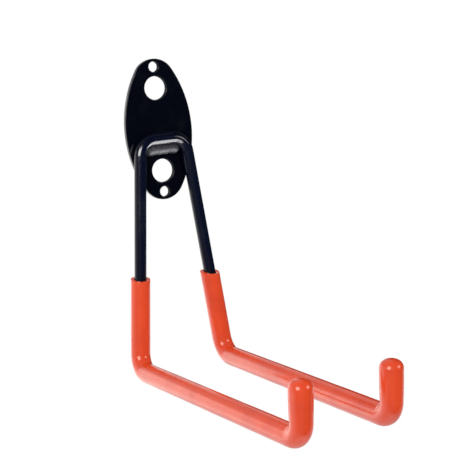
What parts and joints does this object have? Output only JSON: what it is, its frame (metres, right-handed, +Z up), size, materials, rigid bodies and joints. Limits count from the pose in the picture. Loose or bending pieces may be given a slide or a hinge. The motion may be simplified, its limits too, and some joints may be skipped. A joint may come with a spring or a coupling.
{
  "type": "garage utility hook",
  "caption": "Wall hook for ladders and tools: an oval steel plate with a bent rod welded to it, whose two upturned arms wear domed vinyl sleeves.",
  "frame": {"origin": "middle of the plate's back face, which lies on the wall", "axes": "+Y into the wall, +Z up along the plate's hole line, +X to the right of someone who faces the wall; the arms point along -Y"},
  "size_m": [0.061, 0.1785, 0.1691],
  "materials": {
    "black_enamel": "gloss",
    "orange_vinyl": "gloss"
  },
  "bodies": {
    "root": {"back_plate": "black_enamel", "bent_rod": "black_enamel", "weld_bead": "black_enamel", "left_sleeve": "orange_vinyl", "right_sleeve": "orange_vinyl"}
  },
  "joints": []
}
